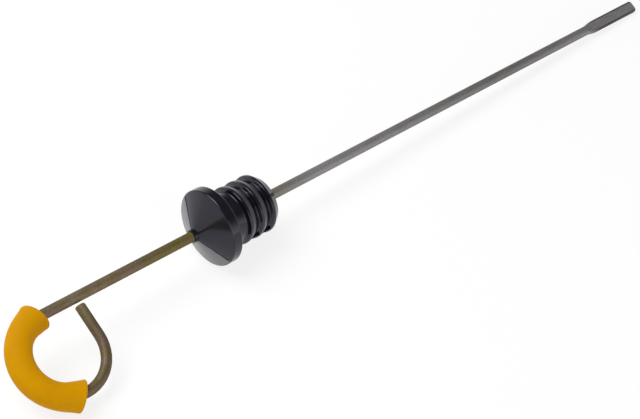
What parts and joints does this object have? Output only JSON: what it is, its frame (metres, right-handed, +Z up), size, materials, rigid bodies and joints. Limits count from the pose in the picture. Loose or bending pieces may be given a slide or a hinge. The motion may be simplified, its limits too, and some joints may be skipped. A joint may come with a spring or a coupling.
{
  "type": "oil dipstick",
  "caption": "Wire oil dipstick with a finger loop and moulded grip, a barbed rubber tube plug under a coned cap, and a flat coined blade that reads the oil level.",
  "frame": {"origin": "middle of the plug's seat face, on the rod's axis", "axes": "+X along the rod's heading towards the blade, +Z up from the surface that the dipstick lies on; the finger loop is on the -Y side"},
  "size_m": [0.409, 0.0581, 0.0365],
  "materials": {
    "plated_steel": "dull yellow chromate over drawn wire, greyer towards the blade",
    "grip_plastic": "smooth soft yellow plastic",
    "plug_rubber": "glossy black moulded rubber"
  },
  "bodies": {
    "root": {"dipstick_rod": "plated_steel", "loop_grip": "grip_plastic", "rubber_plug": "plug_rubber"}
  },
  "joints": []
}
